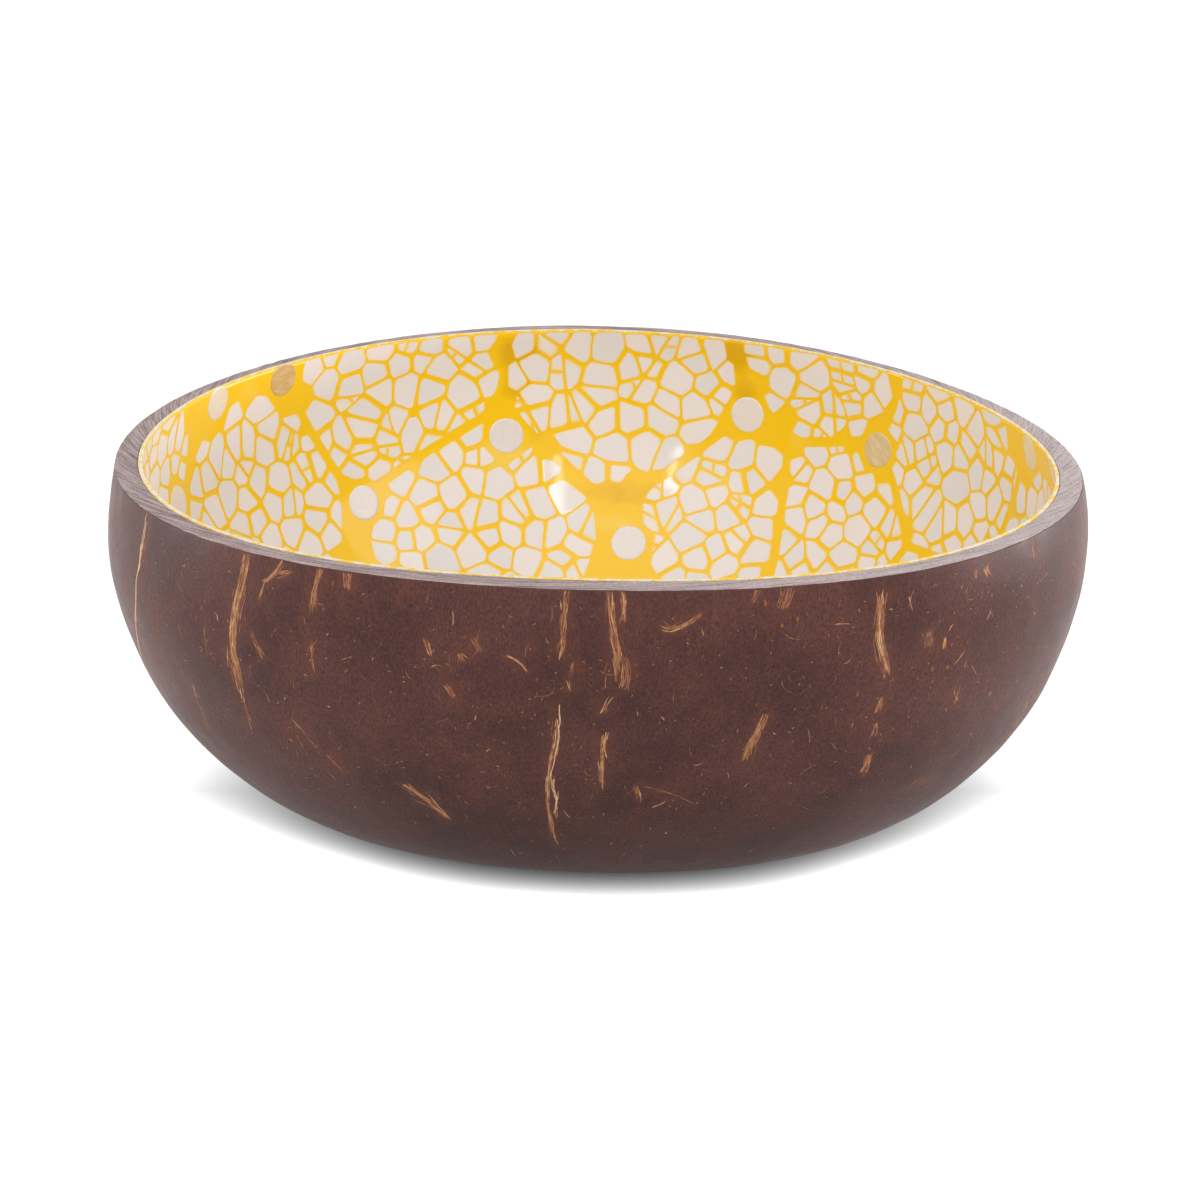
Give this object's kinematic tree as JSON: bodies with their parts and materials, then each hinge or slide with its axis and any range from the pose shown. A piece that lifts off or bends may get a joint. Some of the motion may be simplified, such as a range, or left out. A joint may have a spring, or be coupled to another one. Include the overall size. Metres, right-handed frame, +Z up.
{
  "type": "coconut shell bowl",
  "caption": "Round bowl cut from half a coconut shell, with a lacquered lining that carries a crackled eggshell and pearl disc inlay.",
  "frame": {"origin": "on the table under the middle of the bowl, in the plane of the sanded flat under it", "axes": "+Z up, +X to the right and +Y to the back of the bowl as the picture shows it"},
  "size_m": [0.1401, 0.1316, 0.0549],
  "materials": {
    "coconut_shell": "sanded and oiled, satin",
    "lacquer": "polished clear-coated lacquer",
    "eggshell": "white eggshell under clear lacquer",
    "pearl": "mother of pearl under clear lacquer"
  },
  "bodies": {
    "root": {"coconut_shell": "coconut_shell", "lacquer_lining": "lacquer", "eggshell_field_01": "eggshell", "eggshell_field_02": "eggshell", "eggshell_field_03": "eggshell", "eggshell_field_04": "eggshell", "eggshell_field_05": "eggshell", "eggshell_field_06": "eggshell", "eggshell_field_07": "eggshell", "eggshell_field_08": "eggshell", "eggshell_field_09": "eggshell", "eggshell_field_10": "eggshell", "eggshell_field_11": "eggshell", "eggshell_field_12": "eggshell", "eggshell_field_13": "eggshell", "eggshell_field_14": "eggshell", "eggshell_field_15": "eggshell", "eggshell_field_16": "eggshell", "eggshell_field_17": "eggshell", "eggshell_field_18": "eggshell", "eggshell_field_19": "eggshell", "eggshell_field_20": "eggshell", "eggshell_field_21": "eggshell", "eggshell_field_22": "eggshell", "eggshell_field_23": "eggshell", "eggshell_field_24": "eggshell", "eggshell_field_25": "eggshell", "eggshell_field_26": "eggshell", "eggshell_field_27": "eggshell", "eggshell_field_28": "eggshell", "eggshell_field_29": "eggshell", "eggshell_field_30": "eggshell", "eggshell_field_31": "eggshell", "eggshell_field_32": "eggshell", "pearl_disc_01": "pearl", "pearl_disc_02": "pearl", "pearl_disc_03": "pearl", "pearl_disc_04": "pearl", "pearl_disc_05": "pearl", "pearl_disc_06": "pearl", "pearl_disc_07": "pearl", "pearl_disc_08": "pearl", "pearl_disc_09": "pearl", "pearl_disc_10": "pearl", "pearl_disc_11": "pearl", "pearl_disc_12": "pearl", "pearl_disc_13": "pearl", "pearl_disc_14": "pearl", "pearl_disc_15": "pearl", "pearl_disc_16": "pearl", "pearl_disc_17": "pearl", "pearl_disc_18": "pearl", "pearl_disc_19": "pearl", "pearl_disc_20": "pearl", "pearl_disc_21": "pearl", "pearl_disc_22": "pearl", "pearl_disc_23": "pearl", "pearl_disc_24": "pearl", "pearl_disc_25": "pearl", "pearl_disc_26": "pearl"}
  },
  "joints": []
}
